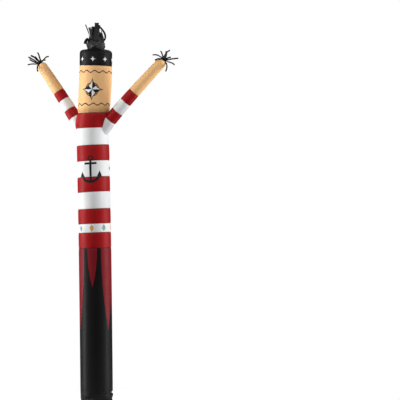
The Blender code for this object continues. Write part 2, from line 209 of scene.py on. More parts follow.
def dragFolds(angle, height):  # folds that run out from under each sleeve
    cut, depth = shoulderFolds, 0.0
    down = height - shoulder["height"]
    for side in (0.0, math.pi):
        across = angleBetween(angle, side) * body["radius"]
        if max(across, abs(down)) < cut["reach"]:
            away = math.hypot(across, down)
            spoke = math.cos(cut["count"] * math.atan2(down, across) + cut["turn"] * side)
            fade = clamp01((away - cut["start"]) / cut["ease"]) * hump(away, cut["reach"])
            depth += cut["depth"] * fade * max(spoke, 0.0) ** 2
    return depth


def bodyWrinkle(angle, height):  # long soft ripples, puckers beside the seams, and the slack foot
    depth = wrinkles["ripple"] * roundNoise(angle, height, *wrinkles["rippleNoise"])
    for number, seam in enumerate(seams):
        kind = "neck" if seam == body["neck"] else "seam"
        depth -= puckered(kind, angle, height, seam, wrinkles["seedStep"] * number)
    depth -= dragFolds(angle, height)
    if height < footCuff["slackTop"]:
        slack = hump(height - footCuff["slackHeight"], footCuff["slackReach"])
        folds = sum(share * roundNoise(angle, height, *fold) for share, *fold in footCuff["folds"])
        depth += footCuff["crumple"] * slack * folds
    return depth


def bodyPoint(angle, height, out=0.0):
    over = max(height - body["rim"], 0.0)  # the hat's rim rounds over before its crown
    chamfer = over * over / body["rimRound"]
    return onAxis(angle, bodyRadius(angle, height) + bodyWrinkle(angle, height) - chamfer + out, height)


# Sleeves: reach, sweep and rise of each centre line

sleeves = {
    "right": {
        "sign": 1, "start": Vector((0.1640, 0.0, 3.984)), "reach": 0.7950, "sweep": 0.183, "rise": 0.884,
        "seams": (0.0726, 0.208, 0.3545, 0.506), "seed": 20.0,
    },
    "left": {
        "sign": -1, "start": Vector((-0.2952, 0.0, 4.004)), "reach": 0.5420, "sweep": 0.121, "rise": 0.847,
        "seams": (0.097, 0.2345, 0.394, 0.535), "seed": 40.0,
    },
}
sleeveCut = {
    "sides": 80, "rootRadius": 0.0935, "handRadius": 0.0705, "sweepPower": 1.7,
    "handRound": 0.045, "handHole": 0.0315, "handRows": 12, "handPlain": 0.06, "lap": 0.006,
    "fine": 0.0025, "coarse": 0.013, "printRadius": 0.08, "leastArea": 0.31,  # of the flat sheet
    "ripple": 0.0007, "rippleNoise": (1.6, 2.5), "seedStep": 3.3,
    "rootFold": 0.0028, "rootFolds": 7, "rootMiddle": 0.06, "rootReach": 0.20,
    "gather": 0.0018, "gathers": 13, "gatherReach": 0.09,
    "searched": (-0.14, 0.4), "halvings": 26, "sewnIn": 0.0004,
}
sleeveCloths = ("sleeveWhite", "sleeveRed", "sleeveWhite", "sleeveRed", "handTan")


def sleeveCentre(side, share):
    cut = sleeves[side]
    swept = math.copysign(abs(share) ** sleeveCut["sweepPower"], share)
    step = Vector((cut["sign"] * cut["reach"] * share, cut["sign"] * cut["sweep"] * swept, cut["rise"] * share))
    return body["foot"] + cut["start"] + step


def sleeveFrame(side, share, step=0.01):
    along = (sleeveCentre(side, share + step) - sleeveCentre(side, share - step)).normalized()
    toward = (towardViewer - towardViewer.dot(along) * along).normalized()
    return along, along.cross(toward), toward


def sleeveLength(side):
    return (sleeveCentre(side, 1.0) - sleeveCentre(side, 0.0)).length


def sleeveRadius(side, share):
    cut, length = sleeveCut, sleeveLength(side)
    radius = cut["rootRadius"] + (cut["handRadius"] - cut["rootRadius"]) * clamp01(share)
    for seam in sleeves[side]["seams"]:
        radius -= body["seamDraw"] * hump((share - seam) * length, body["seamReach"])
    left = (1.0 - share) * length
    if left < cut["handRound"]:
        bend = math.sqrt(max(1 - (1 - left / cut["handRound"]) ** 2, 0.0))
        radius = cut["handHole"] + (radius - cut["handHole"]) * bend
    return radius


def sleeveWrinkle(side, angle, share):
    cut, length, seed = sleeveCut, sleeveLength(side), sleeves[side]["seed"]
    along = share * length
    depth = cut["ripple"] * roundNoise(angle, along, *cut["rippleNoise"], seed)
    for number, seam in enumerate(sleeves[side]["seams"]):
        depth -= puckered("sleeve", angle, along, seam * length, seed + cut["seedStep"] * number)
    root = hump(along - cut["rootMiddle"], cut["rootReach"])  # the armhole seam pulls folds into the first bands
    depth -= cut["rootFold"] * root * max(math.cos(cut["rootFolds"] * angle + seed), 0.0) ** 2
    hand = clamp01(1 - (length - along) / cut["gatherReach"])  # gathers run in to the tied hand
    depth -= cut["gather"] * hand * (0.5 + 0.5 * math.cos(cut["gathers"] * angle + seed))
    return depth


def sleevePoint(side, angle, share, out=0.0):
    _, across, toward = sleeveFrame(side, share)
    radius = sleeveRadius(side, share) + out + sleeveWrinkle(side, angle, share)
    return sleeveCentre(side, share) + radius * (across * math.cos(angle) + toward * math.sin(angle))


def outsideBody(point):  # how far a point lies outside the body's cloth
    height = point.z
    for _ in range(4):  # finds the ring, which leans, that passes through the point
        x = point.x - body["foot"].x - through(body["lean"], 1, height)
        height = point.z - through(body["lean"], 2, height) * x
    y = point.y - body["foot"].y
    angle = math.atan2(y, x)
    return math.hypot(x, y) - bodyRadius(angle, height) - bodyWrinkle(angle, height)


def leavesBody(side, angle):  # the share of the sleeve where this line of it comes out of the body
    low, high = sleeveCut["searched"]
    for _ in range(sleeveCut["halvings"]):
        middle = (low + high) / 2
        if outsideBody(sleevePoint(side, angle, middle)) < sleeveCut["sewnIn"]:
            low = middle
        else:
            high = middle
    return high


# Node trees: a Field is a value in a tree, and stands in a sum as a number does

class Field:
    def __init__(self, socket):
        self.socket, self.tree = socket, socket.id_data

    def __add__(self, other):
        return maths("ADD", self, other)

    def __sub__(self, other):
        return maths("SUBTRACT", self, other)

    def __rsub__(self, other):
        return maths("SUBTRACT", other, self)

    def __mul__(self, other):
        return maths("MULTIPLY", self, other)

    def __truediv__(self, other):
        return maths("DIVIDE", self, other)

    def __pow__(self, other):
        return maths("POWER", self, other)

    def __abs__(self):
        return maths("ABSOLUTE", self)


def feed(sockets, values):  # a Field is linked, and anything else is set
    for label, value in values.items():
        if isinstance(value, Field):
            value.tree.links.new(value.socket, sockets[label])
        else:
            sockets[label].default_value = value


def addNode(tree, kind, inputs, output=0, **settings):  # gives the output, or each of several
    node = tree.nodes.new(kind)
    for name, value in settings.items():
        setattr(node, name, value)
    feed(node.inputs, inputs)
    if isinstance(output, tuple):
        return [Field(node.outputs[each]) for each in output]
    return Field(node.outputs[output])


def newGroup(name, inputs, outputs, kind="ShaderNodeTree"):  # an input is a number or a kind of socket
    group = bpy.data.node_groups.new(name, kind)
    for label, value in inputs.items():
        typed = value if isinstance(value, str) else "Float"
        socket = group.interface.new_socket(label, in_out="INPUT", socket_type="NodeSocket" + typed)
        if value is not typed:
            socket.default_value = value
    for label, typed in outputs.items():
        group.interface.new_socket(label, in_out="OUTPUT", socket_type="NodeSocket" + typed)
    given, out = group.nodes.new("NodeGroupInput").outputs, group.nodes.new("NodeGroupOutput").inputs
    return group, {label: Field(given[label]) for label in inputs}, out


def maths(operation, *values):
    tree = next(value.tree for value in values if isinstance(value, Field))
    return addNode(tree, "ShaderNodeMath", dict(enumerate(values)), operation=operation)


def mixColour(share, a, b, blend="MIX"):
    return addNode(share.tree, "ShaderNodeMix", {0: share, 6: a, 7: b}, 2, data_type="RGBA", blend_type=blend)


def shaded(amount, colour, depth):  # the same colour, darker by the depth where the amount is one
    return mixColour(amount, colour, (1 - depth, 1 - depth, 1 - depth, 1), "MULTIPLY")


def noiseOf(vector, scale, detail=2.0, roughness=0.5):
    inputs = {"Vector": vector, "Scale": scale, "Detail": detail, "Roughness": roughness}
    return addNode(vector.tree, "ShaderNodeTexNoise", inputs, "Fac")


def smoothStep(value, low, high):
    inputs = {"Value": value, "From Min": low, "From Max": high}
    return addNode(value.tree, "ShaderNodeMapRange", inputs, "Result", interpolation_type="SMOOTHSTEP")


def below(value, edge, blur=0.0012):  # one where the value is under the edge
    return smoothStep(edge - value, -blur, blur)


def both(a, b):
    return maths("MINIMUM", a, b)


def either(*masks):
    found = masks[0]
    for mask in masks[1:]:
        found = maths("MAXIMUM", found, mask)
    return found


def newMaterial(name):
    material = bpy.data.materials.new(name)
    material.use_nodes = True
    place = addNode(material.node_tree, "ShaderNodeTexCoord", {}, "Object")
    return material, material.node_tree.nodes["Principled BSDF"].inputs, place


# Shader groups shared by the cloths

def buildWeave():  # threads of the ripstop cloth: a fine plain weave with a heavier grid
    inputs = {"Across": 0.0, "Along": 0.0, "Thread": 0.0012, "Grid": 0.006}
    group, given, out = newGroup("ripstopWeave", inputs, {"Height": "Float", "Grid Line": "Float"})
    waves, lines = [], []
    for label in ("Across", "Along"):
        waves.append(maths("SINE", given[label] / given["Thread"] * fullTurn))
        lines.append(smoothStep(maths("PINGPONG", given[label] / given["Grid"], 0.5), 0.40, 0.49))
    grid = either(*lines)
    feed(out, {"Height": maths("MULTIPLY_ADD", grid, 2.0, waves[0] * waves[1]), "Grid Line": grid})
    return group


creasing = {  # scales per metre, squeezed up the tube; a crease's half width, where it shows, and its height
    "stretch": (1.0, 1.0, 0.3), "patches": 3.0, "broad": 6.0, "fine": 17.0, "sharp": 0.06, "shown": (0.45, 0.62),
    "height": 0.12, "detail": 1.0, "roughness": 0.4,
}


def buildCreases():  # the fine press creases and soft unevenness that blown-up cloth keeps
    cut = creasing
    group, given, out = newGroup("clothCreases", {"Place": "Vector"}, {"Height": "Float", "Patches": "Float"})
    stretched = addNode(group, "ShaderNodeMapping", {"Scale": cut["stretch"], "Vector": given["Place"]})
    patches = noiseOf(given["Place"], cut["patches"])
    broad, fine = (noiseOf(stretched, cut[each], cut["detail"], cut["roughness"]) for each in ("broad", "fine"))
    crease = 1.0 - smoothStep(abs(fine - 0.5), 0.0, cut["sharp"])
    shown = crease * smoothStep(patches, *cut["shown"])  # only here and there
    feed(out, {"Height": maths("MULTIPLY_ADD", shown, cut["height"], broad), "Patches": patches})
    return group


def buildStar():  # a star of four hollow-sided points, as used for the small stars and the compass
    inputs = {"X": 0.0, "Y": 0.0, "Radius": 0.05, "Hollow": 0.55}
    group, given, out = newGroup("fourPointStar", inputs, {"Inside": "Float"})
    x, y = ((abs(given[label]) / given["Radius"]) ** given["Hollow"] for label in "XY")
    feed(out, {"Inside": below(x + y, 1.0, 0.025)})
    return group


weaveGroup, creaseGroup, starGroup = buildWeave(), buildCreases(), buildStar()
print("shader groups made")


# Prints: generic sea motifs, placed by metres round the tube from its front and up from the foot; the head's print
# also carries a painted shade and a painted highlight at the neck

ink = (0.010, 0.010, 0.012, 1)
waistPrint = {
    "pennants": (  # how many, length, half width, where round the tube
        (3, 1.16, 0.112, 0.5), (6, 0.56, 0.070, 0.0),
    ),
    "top": 2.262, "taper": 2.2,
    "count": 8, "half": (0.030, 0.046), "height": 2.529, "inside": 0.84, "blur": 0.03,
    "outline": (0.012, 0.012, 0.014, 1),
    "red": (0.200, 0.006, 0.012, 1), "yellow": (0.90, 0.36, 0.02, 1), "teal": (0.18, 0.46, 0.38, 1),
}
chestPrint = {
    "anchorHeight": 3.335, "ringUp": 0.172, "ringRadius": 0.030, "ringHalf": 0.0085, "shankHalf": 0.0155,
    "shank": (-0.168, 0.148), "stockUp": 0.098, "stockHalf": (0.088, 0.0145),
    "armCentre": -0.018, "armRadius": 0.140, "armHalf": 0.017, "armTop": -0.070,
    "flukeOut": 0.128, "flukeHalf": 0.044, "fluke": (-0.098, -0.008),
    "starRadius": 0.052, "starTurns": (0.25, 0.75), "starHeight": 3.358,
}
headPrintAndPaintedLight = {
    "height": 4.470, "long": 0.172, "short": 0.112, "hollow": 0.62, "ring": 0.094, "ringHalf": 0.0055,
    "facetRadius": 0.172 * 0.80, "facetHollow": 0.66, "facets": (0.80, 0.80, 0.80, 1),
    "waveHeights": (4.262, 4.722), "waves": 12, "waveRise": 0.014, "waveHalf": 0.0075,
    # painted shade darkening the head down at the neck, and a painted highlight along the neck seam
    "paintedNeckShade": (0.36, 0.19, 0.060, 1), "paintedNeckShadeRise": 0.115, "paintedNeckShadeAmount": 0.55,
    "paintedRimHighlight": (0.88, 0.62, 0.38, 1), "paintedRimHighlightRise": 0.0065, "paintedRimHighlightAmount": 0.7,
}
hatPrint = {"height": 4.898, "count": 8, "radius": 0.042, "tone": (0.78, 0.78, 0.78, 1)}


def repeated(across, count, turn=0.0):  # metres from the middle of the nearest repeat
    pitch = girth / count
    return maths("MODULO", across + ((0.5 - turn) * pitch + 8 * pitch), pitch) - pitch / 2


def star(x, y, radius, hollow=0.55):
    inputs = {"X": x, "Y": y, "Radius": radius, "Hollow": hollow}
    return addNode(x.tree, "ShaderNodeGroup", inputs, "Inside", node_tree=starGroup)


def bar(value, half):
    return below(abs(value), half)


def ringMask(x, y, radius, half):
    return bar(maths("SQRT", x * x + y * y) - radius, half)


def between(value, low, high):
    return bar(value - (low + high) / 2, (high - low) / 2)


def printPennants(across, up, colour):
    cut, masks = waistPrint, []
    for count, length, width, turn in cut["pennants"]:
        taper = 1.0 - maths("MAXIMUM", (cut["top"] - up) / length, 0.0) ** cut["taper"]
        masks.append(below(abs(repeated(across, count, turn)), taper * width))
    return mixColour(either(*masks), colour, cut["red"])


def printDiamonds(across, up, colour):
    cut = waistPrint
    total = abs(repeated(across, cut["count"])) / cut["half"][0] + abs(up - cut["height"]) / cut["half"][1]
    odd = below(abs(repeated(across, cut["count"] / 2)), girth / cut["count"] / 2)
    framed = mixColour(below(total, 1.0, cut["blur"]), colour, cut["outline"])
    return mixColour(below(total, cut["inside"], cut["blur"]), framed, mixColour(odd, cut["teal"], cut["yellow"]))


def printAnchor(across, up, colour):
    cut = chestPrint
    y = up - cut["anchorHeight"]
    low, high = cut["fluke"]
    flukeWide = (high - y) / (high - low) * cut["flukeHalf"]
    masks = [  # ring, shank, stock, arms and flukes
        ringMask(across, y - cut["ringUp"], cut["ringRadius"], cut["ringHalf"]),
        both(bar(across, cut["shankHalf"]), between(y, *cut["shank"])),
        both(bar(across, cut["stockHalf"][0]), bar(y - cut["stockUp"], cut["stockHalf"][1])),
        both(ringMask(across, y - cut["armCentre"], cut["armRadius"], cut["armHalf"]), below(y, cut["armTop"])),
        both(below(abs(abs(across) - cut["flukeOut"]), flukeWide), between(y, low, high)),
    ]
    for turn in cut["starTurns"]:
        masks.append(star(repeated(across, 1, turn), up - cut["starHeight"], cut["starRadius"]))
    return mixColour(either(*masks), colour, ink)


def printCompassAndPaintedLight(across, up, colour):
    cut = headPrintAndPaintedLight
    y = up - cut["height"]
    upright = star(across, y, cut["long"], cut["hollow"])
    turned = star((across + y) * math.sqrt(0.5), (y - across) * math.sqrt(0.5), cut["short"], cut["hollow"])
    ring = ringMask(across, y, cut["ring"], cut["ringHalf"])
    shown = mixColour(either(upright, turned, ring), colour, ink)
    parity = maths("SIGN", across) * maths("SIGN", y) * maths("SIGN", abs(across) - abs(y))
    facets = both(star(across, y, cut["facetRadius"], cut["facetHollow"]), maths("GREATER_THAN", parity, 0.0))
    shown = mixColour(facets, shown, cut["facets"])
    crest = maths("SINE", across * (fullTurn * cut["waves"] / girth)) * cut["waveRise"]
    for height in cut["waveHeights"]:
        shown = mixColour(bar(up - height - crest, cut["waveHalf"]), shown, ink)
    above = up - body["neck"]  # painted shade: the cloth is painted darker down at the neck, where shade falls
    low = 1.0 - smoothStep(above, 0.0, cut["paintedNeckShadeRise"])
    shown = mixColour(low * cut["paintedNeckShadeAmount"], shown, cut["paintedNeckShade"])
    # painted highlight: a thin light rim painted along the neck seam
    return mixColour(below(above, cut["paintedRimHighlightRise"]) * cut["paintedRimHighlightAmount"], shown, cut["paintedRimHighlight"])


def printHatStars(across, up, colour):
    cut = hatPrint
    mask = star(repeated(across, cut["count"]), up - cut["height"], cut["radius"])
    return mixColour(mask, colour, cut["tone"])


# Cloth materials: a cloth's name ends in its dye

dyes = {  # colour of the cloth, how much darker it is beside a seam, colour of the thread
    "black": ((0.0045, 0.0045, 0.0050), 0.4, (0.03, 0.03, 0.033)),
    "red": ((0.325, 0.0040, 0.0060), 0.6, (0.16, 0.01, 0.015)),
    "white": ((0.76, 0.765, 0.77), 0.14, (0.55, 0.55, 0.56)),
    "tan": ((0.845, 0.500, 0.225), 0.1, (0.42, 0.24, 0.10)),
}
cloths = {  # what each has that its dye doesn't say
    "trouserBlack": {"design": printPennants}, "hatBlack": {"design": printHatStars}, "crownBlack": {},
    "hairBlack": {"colour": (0.016, 0.016, 0.017), "rough": 0.42, "gloss": 0.36, "creased": 2.0},
    "tasselBlack": {"colour": (0.009, 0.009, 0.010), "rough": 0.46, "gloss": 0.22, "creased": 1.5},
    "shirtRed": {}, "sleeveRed": {}, "chestRed": {"design": printAnchor},
    "shirtWhite": {}, "sleeveWhite": {}, "chestWhite": {"design": printAnchor},
    "waistWhite": {"design": printDiamonds}, "headTan": {"design": printCompassAndPaintedLight}, "handTan": {"edge": 0.3},
}
clothFinish = {
    "patches": (0.35, 0.7), "patchShade": 0.07, "gridShade": 0.06, "seamShadeReach": 0.011, "wear": 0.12,
    "creaseStrength": 0.30, "creaseHeight": 0.006, "weaveStrength": 0.25, "weaveHeight": 0.0001,
}


def dyeOf(cloth):
    return next(dye for dye in dyes if cloth.lower().endswith(dye))


def clothMaterial(name, colour, edge, rough=0.47, gloss=0.13, creased=1.0, design=None):
    finish = clothFinish
    material, sockets, place = newMaterial(name)
    tree = place.tree
    uv = addNode(tree, "ShaderNodeUVMap", {}, uv_map="cloth")
    across, up = addNode(tree, "ShaderNodeSeparateXYZ", {0: uv}, ("X", "Y"))
    seamGap = addNode(tree, "ShaderNodeAttribute", {}, "Fac", attribute_name="seamGap")
    relief, patches = addNode(
        tree, "ShaderNodeGroup", {"Place": place}, ("Height", "Patches"), node_tree=creaseGroup)
    threads, gridLine = addNode(
        tree, "ShaderNodeGroup", {"Across": across, "Along": up}, ("Height", "Grid Line"), node_tree=weaveGroup)

    # the design is a print, and on the head it also paints a shade and a highlight at the neck
    base = design(across, up, (*colour, 1)) if design else (*colour, 1)
    base = shaded(smoothStep(patches, *finish["patches"]), base, finish["patchShade"])
    base = shaded(gridLine, base, finish["gridShade"])
    base = shaded(1.0 - smoothStep(seamGap, 0.0, finish["seamShadeReach"]), base, edge)
    wear = finish["wear"]
    creases = addNode(tree, "ShaderNodeBump", {
        "Strength": min(finish["creaseStrength"] * creased, 1.0), "Distance": finish["creaseHeight"],
        "Height": relief})
    weave = addNode(tree, "ShaderNodeBump", {
        "Strength": finish["weaveStrength"], "Distance": finish["weaveHeight"],
        "Height": threads, "Normal": creases})
    feed(sockets, {
        "Base Color": base, "Roughness": maths("MULTIPLY_ADD", patches, wear, rough - wear / 2),
        "Specular IOR Level": gloss, "Normal": weave})
    return material


clothMaterials = {}
for clothName, clothFacts in cloths.items():
    tone, seamShade, _ = dyes[dyeOf(clothName)]
    clothMaterials[clothName] = clothMaterial(clothName, **{"colour": tone, "edge": seamShade, **clothFacts})
print("cloth materials made:", len(clothMaterials))


# Cloth pieces

def newCloth():
    bm = bmesh.new()
    bm.loops.layers.uv.new("cloth")
    bm.verts.layers.float.new("seamGap")
    return bm


def vertGrid(bm, columns, rows, place):
    return [[bm.verts.new(place(i, j)) for i in range(columns)] for j in range(rows)]


def skin(bm, grid, uvAt, closed=True, keep=None):  # faces between the rows of a grid
    uv, wide = bm.loops.layers.uv["cloth"], len(grid[0])
    for j in range(len(grid) - 1):
        for i in range(wide if closed else wide - 1):
            if keep is None or keep(i, j):
                corners = ((i, j), (i + 1, j), (i + 1, j + 1), (i, j + 1))
                face = bm.faces.new([grid[b][a % wide] for a, b in corners])
                face.smooth = True
                for loop, (a, b) in zip(face.loops, corners):
                    loop[uv].uv = uvAt(a, b)


def awayFromSeams(bm):
    layer = bm.verts.layers.float["seamGap"]
    for vert in bm.verts:
        vert[layer] = hair["seamGap"]


def newObject(name, data):
    made = bpy.data.objects.new(name, data)
    bpy.context.scene.collection.objects.link(made)
    return made


def meshObject(bm, name):
    mesh = bpy.data.meshes.new(name)
    bm.to_mesh(mesh)
    bm.free()
    return newObject(name, mesh)


def clothObject(bm, name, cloth, thickness=body["cloth"], offset=-1.0):
    bmesh.ops.dissolve_degenerate(bm, dist=0.00005, edges=bm.edges)
    loose = [v for v in bm.verts if not v.link_faces]
    bmesh.ops.delete(bm, geom=loose, context="VERTS")
    bm.normal_update()
    made = meshObject(bm, name)
    made.data.materials.append(clothMaterials[cloth])
    wall = made.modifiers.new("cloth", "SOLIDIFY")
    wall.thickness, wall.offset = thickness, offset
    wall.use_even_offset = wall.use_quality_normals = True
    return made


def settle(made, cloth, node):
    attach(made, "root")
    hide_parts(node)
    f"{dyeOf(cloth)}_cloth"


def clothGrid(node, cloth, columns, rows, place, uvAt, gapAt, keep=None):
    bm = newCloth()
    gap = bm.verts.layers.float["seamGap"]
    grid = vertGrid(bm, columns, rows, place)
    for j, row in enumerate(grid):
        for i, vert in enumerate(row):
            vert[gap] = gapAt(i, j)
    skin(bm, grid, uvAt, keep=keep)
    made = clothObject(bm, node + "_cloth", cloth)
    settle(made, cloth, node)
    return made


def flatArea(made):
    return sum(face.area for face in made.data.polygons)


def bodyAngle(i, sides=body["sides"]):  # columns start at the back seam, opposite the print
    return body["printFront"] - math.pi + fullTurn * i / sides


airWay = {"length": 0.22, "margin": 0.022}


def inAirWay(point):  # inside a sleeve, where the body's cloth is open to it
    for side in sleeves:
        along, _, _ = sleeveFrame(side, 0.0)
        away = point - sleeveCentre(side, 0.0)
        ahead = away.dot(along)
        beside = (away - ahead * along).length
        if abs(ahead) < airWay["length"] and beside < sleeveCut["rootRadius"] - airWay["margin"]:
            return True
    return False


def makeBodyBands():
    floor, sides = 0.0, body["sides"]
    under, share = body["lapStep"]
    resting = []
    for node, top, cloth in bands:
        rows = rowsBetween(floor, top)
        if node == "trousers":
            fine, fineTop = footCuff["fineRows"], footCuff["fineTop"]
            slack = np.arange(fine, fineTop, fine).tolist()
            rows = [0.0] + slack + [h for h in rows if h > fineTop + fine]
        steps = [(h, 0.0) for h in rows]
        if node != "hat":  # the top edge is lapped under the next band
            steps[-1] = (top - body["lapStart"], 0.0)
            steps += [(top - under, -body["lapDepth"] * share), (top + body["lap"], -body["lapDepth"])]
        points = [[bodyPoint(bodyAngle(i), h, out) for i in range(sides)] for h, out in steps]
        edges = [edge for edge in (floor, top) if edge > 0]
        atShoulder = node in ("shirt_red_1", "shirt_white_1")
        made = clothGrid(
            node, cloth, sides, len(steps), lambda i, j: points[j][i],
            lambda i, j: ((i / sides - 0.5) * girth, steps[j][0]),
            lambda i, j: min(abs(steps[j][0] - edge) for edge in edges),
            keep=lambda i, j: not (atShoulder and inAirWay(points[j][i])))
        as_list(resting)
        floor, resting = top, [made.name]
    print("body bands made:", len(bands))


crown = {
    "rise": ((0.1120, 0.0600), (0.1240, 0.0600), (0.1600, 0.0560), (0.1880, 0.0490), (0.2080, 0.0390),
             (0.2190, 0.0280), (0.2245, 0.0175), (0.2260, 0.0080)),
    "steps": 34, "closer": 1.6, "seam": 4.993, "pull": 0.0014, "pullReach": 0.03, "pullNoise": (8.0, 1.0, 5.0),
    "gather": 0.0014, "gathers": 29, "gatherRadius": 0.116, "gatherReach": 0.05, "gatherNoise": (2.0, 1.0, 2.0),
}


def makeCrown():
    inner, outer = crown["rise"][0][0], crown["rise"][-1][0]
    last = crown["steps"] - 1
    radii = [outer + (inner - outer) * (j / last) ** crown["closer"] for j in range(last + 1)]

    def place(i, j):
        radius, angle = radii[j], bodyAngle(i)
        amount = abs(roundNoise(angle, 0.0, *crown["pullNoise"]))
        pull = hump(outer - radius, crown["pullReach"]) * crown["pull"] * amount
        wave = math.cos(crown["gathers"] * angle + 3 * roundNoise(angle, 0.0, *crown["gatherNoise"]))
        gather = hump(radius - crown["gatherRadius"], crown["gatherReach"]) * crown["gather"] * wave
        return onAxis(angle, radius, body["rim"] + through(crown["rise"], 1, radius) - pull + gather)

    made = clothGrid(
        "hat_crown", "crownBlack", body["sides"], crown["steps"], place,
        lambda i, j: ((i / body["sides"] - 0.5) * fullTurn * radii[j], crown["seam"] + outer - radii[j]),
        lambda i, j: outer - radii[j])
    flat = 2 * outer
    min(flatArea(made), flat * flat)
    print("hat crown made")


def sleeveSteps(tall, length, finalBand):  # share of the band's height, and how far out
    shares = [r / tall for r in rowsBetween(0.0, tall, fine=sleeveCut["fine"], coarse=sleeveCut["coarse"])]
    if finalBand:  # close rows where the hand rounds over
        rows, bend = sleeveCut["handRows"], sleeveCut["handRound"] / tall
        shares = [s for s in shares if s < 1 - sleeveCut["handPlain"] / tall]
        shares += [1 - bend + bend * math.sin(k / rows * math.pi / 2) for k in range(rows + 1)]
        return [(s, 0.0) for s in shares]
    steps = [(s, 0.0) for s in shares[:-1]] + [(1 - body["lapStart"] / length, 0.0)]
    return steps + [(1.0, -body["lapDepth"] * body["lapStep"][1]), (1 + sleeveCut["lap"] / length, -body["lapDepth"])]


def makeSleeves():
    sides = sleeveCut["sides"]
    angles = [fullTurn * i / sides for i in range(sides)]
    for side, cut in sleeves.items():
        length = sleeveLength(side)
        starts = [leavesBody(side, angle) for angle in angles]
        lows, ends = (min(starts), *cut["seams"]), (*cut["seams"], 1.0)
        for number, (cloth, low, high) in enumerate(zip(sleeveCloths, lows, ends), 1):
            finalBand = number == len(ends)
            tall = (high - low) * length
            steps = sleeveSteps(tall, length, finalBand)

            def shareAt(i, j):
                share, begin = steps[j][0], max(starts[i % sides], low)
                top = max(high, begin)
                return begin + (top - begin) * share if share <= 1 else top + (share - 1) * (high > begin)

            def gapAt(i, j):
                return min(abs(shareAt(i, j) - edge) for edge in (starts[i], *cut["seams"])) * length

            points = [
                [sleevePoint(side, angles[i], shareAt(i, j), out) for i in range(sides)]
                for j, (_, out) in enumerate(steps)
            ]
            made = clothGrid(
                f"sleeve_{side}_{number}", cloth, sides, len(steps), lambda i, j: points[j][i],
                lambda i, j: ((i / sides - 0.5) * fullTurn * sleeveCut["printRadius"], shareAt(i, j) * length), gapAt)
            around = fullTurn * sleeveRadius(side, (low + high) / 2)
            area = min(flatArea(made), around * tall)
            area = max(area, sleeveCut["leastArea"] * around * tall)
    print("sleeves made")


# Hair: a crumpled collar round the vent and long cut strips on it

hair = {  # each noise is per radian, per metre, seed
    "base": 5.0453, "ring": 5.150, "ringHeight": 0.012, "radius": 0.118, "swell": 0.014, "crease": 0.005,
    "sides": 160, "rows": 40, "crumple": 0.0042, "fineCrumple": 0.0016, "gather": 0.0012, "gathers": 31,
    "ridgeNoise": (1.9, 1.0, 11.0), "counterNoise": (2.3, 1.0, 14.0), "slants": (0.9, 1.1), "sharp": 3.0,
    "fineNoise": (7.0, 4.0, 17.0), "gatherNoise": (2.0, 1.0, 6.0), "tiltNoise": (1.5, 1.0, 31.0),
    "sewnDown": 0.004, "tilt": 0.004, "fullness": 1.25, "tuckedIn": 0.003, "seamGap": 0.05,
    "ringLifts": (-0.003, 0.004, 0.010, 0.014), "ringSides": 96, "ringGirth": 0.74, "ringStep": 0.004,
    "wobble": 0.0012, "wobbleNoise": (6.0, 30.0, 3.0), "level": 5.160, "printApart": 0.06,
    "printStep": (0.0066, 0.009), "stripDegrees": 26, "widen": 1.12, "sections": 30, "across": 9,
    "stripCloth": 0.0012, "cup": 0.006, "ragged": 0.06, "ripple": 0.0045, "fineRipple": 0.0014,
    "inset": 0.00125, "innerInset": 0.0060, "innerArch": 0.012, "innerTwist": 10,
}
hairStrips = (  # place, middle and tip as (right, toward the viewer, up), twist
    (0, (0.098, 0.000, 0.066), (0.052, 0.002, 0.128), 0),
    (30, (0.094, 0.054, 0.052), (0.078, 0.045, 0.100), 0),
    (60, (0.046, 0.080, 0.070), (0.029, 0.050, 0.132), 0),
    (90, (0.010, 0.098, 0.130), (0.015, 0.062, 0.262), 0),
    (120, (-0.040, 0.060, 0.108), (-0.030, 0.014, 0.208), 0),
    (150, (-0.126, 0.068, 0.030), (-0.150, 0.072, -0.036), 66),
    (180, (-0.098, 0.004, 0.090), (-0.150, 0.006, 0.238), 16),
    (210, (-0.084, -0.040, 0.100), (-0.090, -0.030, 0.205), 74),
    (240, (-0.062, -0.096, 0.090), (-0.054, -0.094, 0.185), 0),
    (270, (0.004, -0.090, 0.120), (0.034, -0.078, 0.244), 0),
    (300, (0.054, -0.094, 0.070), (0.052, -0.091, 0.130), 0),
    (330, (0.124, -0.050, 0.100), (0.052, -0.012, 0.204), 14),
)
innerStrips = (  # place, tip as (right, toward the viewer, up), width: shorter ends that fill the middle
    (15, (0.060, 0.020, 0.135), 0.042), (48, (0.070, 0.055, 0.090), 0.034), (75, (0.030, 0.050, 0.185), 0.046),
    (105, (-0.020, 0.045, 0.165), 0.046), (135, (-0.046, 0.040, 0.212), 0.036),
    (165, (-0.080, 0.010, 0.062), 0.038), (195, (-0.070, -0.030, 0.070), 0.030),
    (225, (-0.056, -0.050, 0.090), 0.036), (255, (-0.012, -0.060, 0.180), 0.046),
    (285, (0.030, -0.060, 0.150), 0.046), (315, (0.070, -0.050, 0.130), 0.042), (345, (0.072, -0.010, 0.160), 0.036),
)


def hairRadius(angle, share):
    bulge = math.sin(math.pi * clamp01(share))
    creases = math.sin(5 * angle + 4 * share) + 0.6 * math.sin(8 * angle - 5 * share + 1)
    radius = hair["radius"] + bulge * (hair["swell"] + hair["crease"] * creases)
    slanted, crossing = angle + hair["slants"][0] * share, angle - hair["slants"][1] * share
    ridge = 0.5 - hair["sharp"] * abs(roundNoise(slanted, share, *hair["ridgeNoise"]))  # broad folds cross in Vs
    counter = 0.5 - hair["sharp"] * abs(roundNoise(crossing, share, *hair["counterNoise"]))
    fine = roundNoise(slanted, share, *hair["fineNoise"])
    held = clamp01(bulge * 2.5)
    gather = math.cos(hair["gathers"] * angle + 4 * roundNoise(angle, 0.0, *hair["gatherNoise"])) * (1 - bulge)
    change = hair["crumple"] * (ridge + counter) + hair["fineCrumple"] * fine
    return radius + held * change + hair["gather"] * gather - hair["tuckedIn"]


